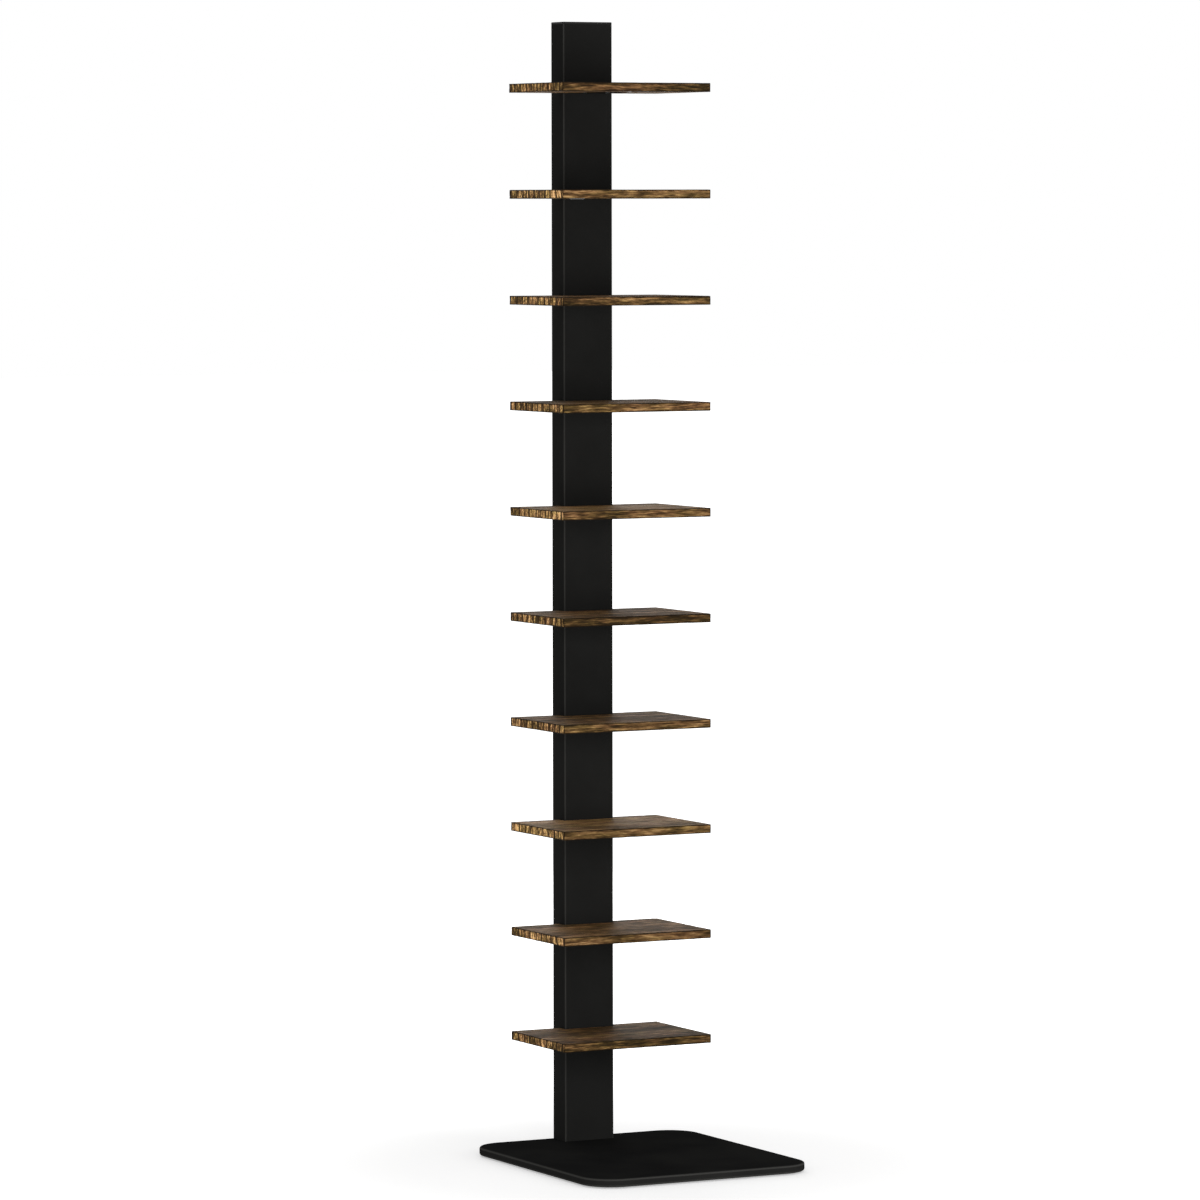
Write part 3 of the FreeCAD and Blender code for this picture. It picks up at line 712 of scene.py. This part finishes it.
def matt_powder_coat(name, blacks, shine, upright_corners):
    """Steel with a baked matt black polyester powder coat: near-black, no mirror, a fine even
    pebble, and a painted highlight of grey on edges and rounded corners, where a sheen would
    catch the light. Plates get it on their edges, by (1 - n)(a + 4 b n), where n is the size of
    the upright part of the outward direction. Upright corners get it by 4 b nx² ny²."""
    material, tree = new_material(name)
    coordinates = add(tree, "ShaderNodeTexCoord")
    place = coordinates.outputs["Object"]
    # the pebble is about 0.4 mm; drawn at 1.1 mm so that it shows
    pebble = add(
        tree, "ShaderNodeTexNoise",
        {"Vector": place, "Scale": 900.0, "Detail": 2.0, "Roughness": 0.5},
    ).outputs["Fac"]
    cloud = add(
        tree, "ShaderNodeTexNoise",
        {"Vector": place, "Scale": 9.0, "Detail": 3.0, "Roughness": 0.55},
    ).outputs["Fac"]
    black = add(
        tree, "ShaderNodeValToRGB", {"Fac": cloud},
        stops=[(0.35, blacks[0]), (0.65, blacks[1])],
    ).outputs["Color"]
    facing = add(
        tree, "ShaderNodeSeparateXYZ", {"Vector": coordinates.outputs["Normal"]}
    ).outputs
    if upright_corners:
        across = add(
            tree, "ShaderNodeMath", {0: facing["X"], 1: facing["Y"]}, operation="MULTIPLY"
        ).outputs[0]
        share, away = 0.0, across
        near = across
    else:
        near = add(tree, "ShaderNodeMath", {0: facing["Z"]}, operation="ABSOLUTE").outputs[0]
        share = EDGE_HIGHLIGHT_SHARE
        away = add(tree, "ShaderNodeMath", {0: 1.0, 1: near}, operation="SUBTRACT").outputs[0]
    strength = add(
        tree, "ShaderNodeMath", {0: near, 1: 4 * ARRIS_HIGHLIGHT_SHARE, 2: share},
        operation="MULTIPLY_ADD",
    ).outputs[0]
    painted_highlight = add(
        tree, "ShaderNodeMath", {0: away, 1: strength}, operation="MULTIPLY"
    ).outputs[0]
    # painted highlight: grey mixed into the black on edges and corners, standing in for sheen
    colour = add(
        tree, "ShaderNodeMix", {0: painted_highlight, 6: black, 7: linear("#62615e")}, data_type="RGBA"
    ).outputs[2]
    roughness = add(
        tree, "ShaderNodeMapRange",
        {"Value": pebble, "From Min": 0.3, "From Max": 0.7, "To Min": 0.8, "To Max": 0.95},
    ).outputs[0]
    bump = add(
        tree, "ShaderNodeBump", {"Height": pebble, "Strength": 0.35, "Distance": 0.12 * MM}
    ).outputs[0]
    coat = add(
        tree, "ShaderNodeBsdfPrincipled",
        {
            "Base Color": colour, "Roughness": roughness, "Normal": bump,
            "IOR": 1.5, "Specular IOR Level": shine,
        },
    )
    add(tree, "ShaderNodeOutputMaterial", {"Surface": coat.outputs[0]})
    return material


def moulded_polypropylene():
    """Injection-moulded black polypropylene: spark-eroded mould texture and a soft waxy sheen,
    a little brighter than the coat round it."""
    material, tree = new_material("moulded_black_polypropylene")
    place = add(tree, "ShaderNodeTexCoord").outputs["Object"]
    # spark-eroded grain of 0.15 mm, drawn at 0.8 mm so that it shows
    grain = add(
        tree, "ShaderNodeTexNoise",
        {"Vector": place, "Scale": 1250.0, "Detail": 2.0, "Roughness": 0.6},
    ).outputs["Fac"]
    colour = add(
        tree, "ShaderNodeValToRGB", {"Fac": grain},
        stops=[(0.3, "#222221"), (0.7, "#282827")],
    ).outputs["Color"]
    roughness = add(
        tree, "ShaderNodeMapRange",
        {"Value": grain, "From Min": 0.3, "From Max": 0.7, "To Min": 0.42, "To Max": 0.58},
    ).outputs[0]
    bump = add(
        tree, "ShaderNodeBump", {"Height": grain, "Strength": 0.3, "Distance": 0.08 * MM}
    ).outputs[0]
    plastic = add(
        tree, "ShaderNodeBsdfPrincipled",
        {
            "Base Color": colour, "Roughness": roughness, "Normal": bump,
            "IOR": 1.49, "Specular IOR Level": 0.05,
        },
    )
    add(tree, "ShaderNodeOutputMaterial", {"Surface": plastic.outputs[0]})
    return material


def bright_zinc_plate():
    """Electroplated, clear-passivated zinc on steel screws: silvery metal with faint cloudy
    patches, slightly blurred reflections."""
    material, tree = new_material("bright_zinc_plate")
    place = add(tree, "ShaderNodeTexCoord").outputs["Object"]
    cloud = add(
        tree, "ShaderNodeTexNoise",
        {"Vector": place, "Scale": 420.0, "Detail": 3.0, "Roughness": 0.6},
    ).outputs["Fac"]
    colour = add(
        tree, "ShaderNodeValToRGB", {"Fac": cloud},
        stops=[(0.35, "#aeb2b6"), (0.65, "#cdd0d2")],
    ).outputs["Color"]
    roughness = add(
        tree, "ShaderNodeMapRange",
        {"Value": cloud, "From Min": 0.3, "From Max": 0.7, "To Min": 0.26, "To Max": 0.42},
    ).outputs[0]
    metal = add(
        tree, "ShaderNodeBsdfPrincipled",
        {"Base Color": colour, "Roughness": roughness, "Metallic": 1.0},
    )
    add(tree, "ShaderNodeOutputMaterial", {"Surface": metal.outputs[0]})
    return material


def closed_cell_foam():
    """Die-cut black EVA foam: dull, dark, with small cut-open cells."""
    material, tree = new_material("closed_cell_foam")
    place = add(tree, "ShaderNodeTexCoord").outputs["Object"]
    cells = add(tree, "ShaderNodeTexVoronoi", {"Vector": place, "Scale": 1100.0})
    colour = add(
        tree, "ShaderNodeValToRGB", {"Fac": cells.outputs["Distance"]},
        stops=[(0.1, "#0e0e0e"), (0.6, "#1f1f1f")],
    ).outputs["Color"]
    bump = add(
        tree, "ShaderNodeBump",
        {"Height": cells.outputs["Distance"], "Strength": 0.5, "Distance": 0.3 * MM},
    ).outputs[0]
    foam = add(
        tree, "ShaderNodeBsdfPrincipled",
        {
            "Base Color": colour, "Roughness": 0.9, "Normal": bump,
            "IOR": 1.45, "Specular IOR Level": 0.1,
        },
    )
    add(tree, "ShaderNodeOutputMaterial", {"Surface": foam.outputs[0]})
    return material


# --- Pieces ---
wood = scorched_softwood()
# painted shade: the same coat as the tube's, with darker blacks standing for the shade on the
# base plate's top; the tongues and the foot share it
plate_coat_painted_darker = matt_powder_coat(
    "matt_black_powder_coat_on_plate_painted_darker", ("#1b1b1b", "#212120"), 0.0, False
)
tube_coat = matt_powder_coat(
    "matt_black_powder_coat_on_tube", ("#1f1f1e", "#232322"), 0.01, True
)
polypropylene = moulded_polypropylene()
zinc = bright_zinc_plate()
foam = closed_cell_foam()

for number in BOARD_NUMBERS:
    board = make_board(number)
    board.data.materials.append(wood)
    nodes[f"shelf_board_{number:02d}"].material_slots[0].material = wood
    nodes[f"shelf_tongue_{number:02d}"].material_slots[0].material = plate_coat_painted_darker
    nodes[f"shelf_screws_{number:02d}"].material_slots[0].material = zinc
for name, finish in (
    ("base_plate", plate_coat_painted_darker), ("column_tube", tube_coat), ("column_foot", plate_coat_painted_darker),
    ("top_cap", polypropylene), ("foot_screws", zinc), ("base_pads", foam),
):
    nodes[name].material_slots[0].material = finish

# --- Floor and backdrop ---
FLOOR_HALF_SIZE = 40.0
FLOOR_LIT_RADIUS = 0.3
FLOOR_WHITE_RADIUS = 1.1
FLOOR_LIFT = 0.41
AMBIENT_AT_HORIZON = 0.62
AMBIENT_OVERHEAD = 0.45


def pale_floor_paint():
    """Matt pale paint that takes the object's shadow. Where the camera or a reflection sees it,
    a glow that grows with the distance from the object turns it into the white backdrop."""
    material, tree = new_material("pale_studio_floor")
    place = add(tree, "ShaderNodeTexCoord").outputs["Object"]
    distance = add(
        tree, "ShaderNodeVectorMath", {0: place}, operation="LENGTH"
    ).outputs["Value"]
    ray = add(tree, "ShaderNodeLightPath")
    seen = add(
        tree, "ShaderNodeMath",
        {0: ray.outputs["Is Camera Ray"], 1: ray.outputs["Is Glossy Ray"]},
        operation="MAXIMUM",
    ).outputs[0]
    lift = add(
        tree, "ShaderNodeMapRange",
        {
            "Value": distance, "From Min": FLOOR_LIT_RADIUS, "From Max": FLOOR_WHITE_RADIUS,
            "To Min": FLOOR_LIFT, "To Max": 1.0,
        },
        interpolation_type="SMOOTHSTEP",
    ).outputs[0]
    strength = add(tree, "ShaderNodeMath", {0: seen, 1: lift}, operation="MULTIPLY").outputs[0]
    glow = add(tree, "ShaderNodeEmission", {"Color": (1, 1, 1, 1), "Strength": strength})
    matt = add(tree, "ShaderNodeBsdfDiffuse", {"Color": linear("#efefef")})
    both = add(tree, "ShaderNodeAddShader", {0: glow.outputs[0], 1: matt.outputs[0]})
    add(tree, "ShaderNodeOutputMaterial", {"Surface": both.outputs[0]})
    return material


def studio_world():
    """White where the camera, a reflection or a clear material sees it. Elsewhere an ambient
    light, a little stronger from the horizon than from overhead."""
    world = bpy.data.worlds.new("studio")
    world.use_nodes = True
    tree = world.node_tree
    tree.nodes.clear()
    ray = add(tree, "ShaderNodeLightPath")
    seen = add(
        tree, "ShaderNodeMath",
        {0: ray.outputs["Is Camera Ray"], 1: ray.outputs["Is Glossy Ray"]},
        operation="MAXIMUM",
    ).outputs[0]
    seen = add(
        tree, "ShaderNodeMath", {0: seen, 1: ray.outputs["Is Transmission Ray"]},
        operation="MAXIMUM",
    ).outputs[0]
    direction = add(tree, "ShaderNodeTexCoord").outputs["Generated"]
    height = add(tree, "ShaderNodeSeparateXYZ", {"Vector": direction}).outputs["Z"]
    ambient = add(
        tree, "ShaderNodeMapRange",
        {"Value": height, "To Min": AMBIENT_AT_HORIZON, "To Max": AMBIENT_OVERHEAD},
    ).outputs[0]
    level = add(
        tree, "ShaderNodeMix", {0: seen, 2: ambient, 3: 1.0}, data_type="FLOAT"
    ).outputs[0]
    light = add(tree, "ShaderNodeBackground", {"Color": (1, 1, 1, 1), "Strength": level})
    add(tree, "ShaderNodeOutputWorld", {"Surface": light.outputs[0]})
    return world


floor_mesh = bpy.data.meshes.new("studio_floor")
floor_corners = FLOOR_HALF_SIZE * np.array([[-1, -1, 0], [1, -1, 0], [1, 1, 0], [-1, 1, 0]])
floor_mesh.from_pydata(floor_corners, [], [(0, 1, 2, 3)])
floor_mesh.materials.append(pale_floor_paint())
floor = bpy.data.objects.new("studio_floor", floor_mesh)
bpy.context.scene.collection.objects.link(floor)
bpy.context.scene.world = studio_world()


# --- Lights ---
def add_softbox(name, place, target, width, height, power):
    """A rectangular area lamp at a place, facing a target."""
    lamp = bpy.data.lights.new(name, "AREA")
    lamp.shape = "RECTANGLE"
    lamp.size = width
    lamp.size_y = height
    lamp.energy = power
    softbox = bpy.data.objects.new(name, lamp)
    softbox.location = place
    softbox.rotation_euler = (Vector(target) - Vector(place)).to_track_quat("-Z", "Y").to_euler()
    bpy.context.scene.collection.objects.link(softbox)


add_softbox("key_softbox", (-1.2, -3.6, 0.85), (0, 0.1, 0.6), 2.0, 1.7, 54)
add_softbox("fill_softbox", (2.0, -3.1, 0.85), (0, 0.1, 0.6), 2.0, 1.7, 26)
add_softbox("rear_softbox", (1.2, 3.8, 1.3), (0, 0.1, 0.8), 2.0, 2.0, 45)

# --- Camera ---
LENS_MM = 194.912
SENSOR_MM = 36.0
CLIP_END = 200.0
AIM = Vector((-48.20, 31.61, 815.08)) * MM
DISTANCE = 9340.7 * MM
AZIMUTH = math.radians(-27.520)
ELEVATION = math.radians(3.4805)
ROLL = math.radians(-0.0976)
back = Vector((
    math.sin(AZIMUTH) * math.cos(ELEVATION), -math.cos(AZIMUTH) * math.cos(ELEVATION),
    math.sin(ELEVATION),
))
level_right = Vector((math.cos(AZIMUTH), math.sin(AZIMUTH), 0))
level_up = back.cross(level_right)
right = math.cos(ROLL) * level_right + math.sin(ROLL) * level_up
up = math.cos(ROLL) * level_up - math.sin(ROLL) * level_right
camera_data = bpy.data.cameras.new("camera")
camera_data.lens = LENS_MM
camera_data.sensor_width = SENSOR_MM
camera_data.clip_end = CLIP_END
camera = bpy.data.objects.new("camera", camera_data)
turn = Matrix((right, up, back)).transposed().to_4x4()
camera.matrix_world = Matrix.Translation(AIM + DISTANCE * back) @ turn
bpy.context.scene.collection.objects.link(camera)
bpy.context.scene.camera = camera
bpy.context.scene.view_settings.view_transform = "Standard"
